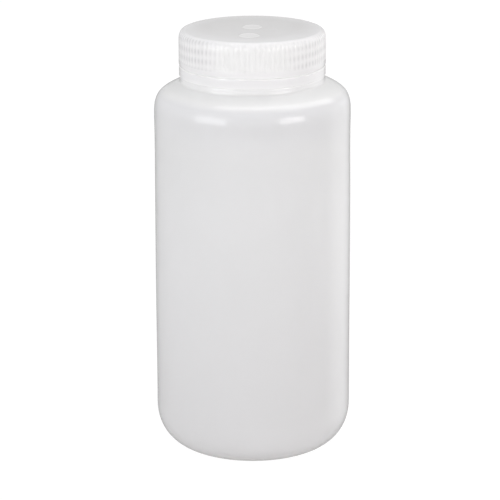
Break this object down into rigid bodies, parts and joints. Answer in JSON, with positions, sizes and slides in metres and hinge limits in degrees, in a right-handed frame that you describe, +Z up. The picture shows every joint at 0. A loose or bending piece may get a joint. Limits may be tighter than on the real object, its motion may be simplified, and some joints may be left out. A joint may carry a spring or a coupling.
{
  "type": "reagent bottle",
  "caption": "Wide-mouth cylindrical plastic laboratory bottle with rounded shoulder and heel, and a ribbed screw cap that unscrews and lifts on its thread.",
  "frame": {"origin": "on the bottle's axis, on the plane it stands on", "axes": "+Z up along the bottle's axis from the foot to the cap"},
  "size_m": [0.0914, 0.0914, 0.2002],
  "materials": {
    "bottle": "satin, milky translucent",
    "cap": "semi-gloss, milky translucent",
    "cap_liner": "matt foam"
  },
  "bodies": {
    "bottle_body": {"bottle": "bottle"},
    "seal_disc": {"cap_liner": "cap_liner"},
    "screw_cap": {"cap": "cap"}
  },
  "joints": [
    {"name": "cap_rise", "type": "slide", "parent": "bottle_body", "child": "seal_disc", "axis": [0, 0, 1], "range_m": [0, 0.02541]},
    {"name": "cap_turn", "type": "hinge", "parent": "seal_disc", "child": "screw_cap", "pos_m": [0, 0, 0.192], "axis": [0, 0, 1], "range_deg": [0, 2160]}
  ],
  "couplings": [
    {"joint": "cap_rise", "follows": "cap_turn", "m_per_rad": 0.00067375}
  ]
}
